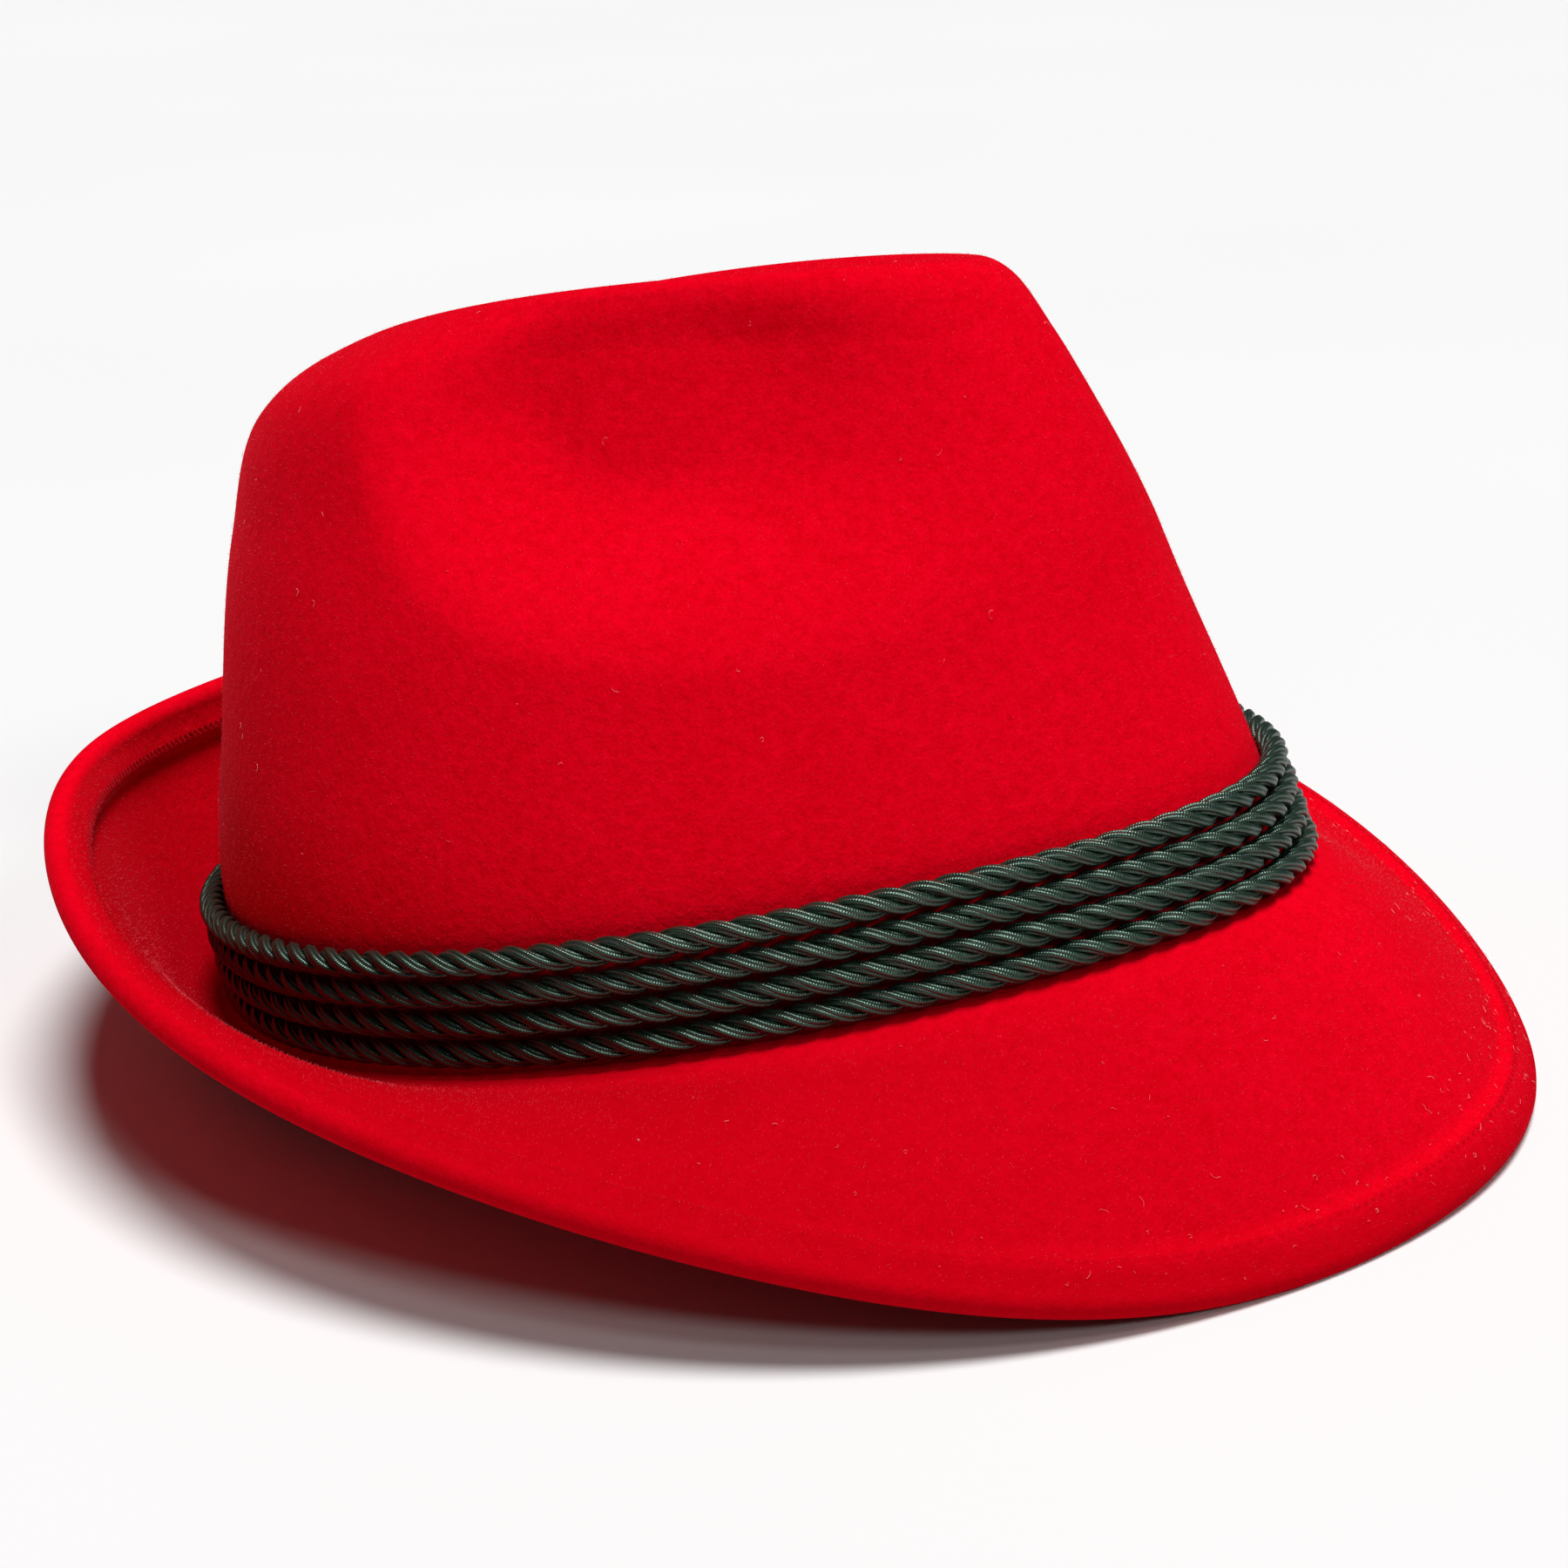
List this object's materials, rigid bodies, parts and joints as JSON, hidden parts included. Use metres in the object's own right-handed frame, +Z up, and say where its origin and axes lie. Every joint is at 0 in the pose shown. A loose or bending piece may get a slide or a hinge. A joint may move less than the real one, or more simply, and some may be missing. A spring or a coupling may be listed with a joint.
{
  "type": "felt hat",
  "caption": "Red felt trilby with a creased, pinched crown, a brim turned down in front and up behind, and green twisted cords round its base.",
  "frame": {"origin": "on the floor under the middle of the hat's bounding box, as the hat rests by itself", "axes": "+Z up from the floor, -Y towards the front of the hat, +X towards the wearer's left"},
  "size_m": [0.2556, 0.2672, 0.1421],
  "materials": {
    "felt": "soft napped wool felt",
    "cord": "satin twisted thread"
  },
  "bodies": {
    "root": {"felt_body": "felt", "cord_1": "cord", "cord_2": "cord", "cord_3": "cord", "cord_4": "cord"}
  },
  "joints": []
}
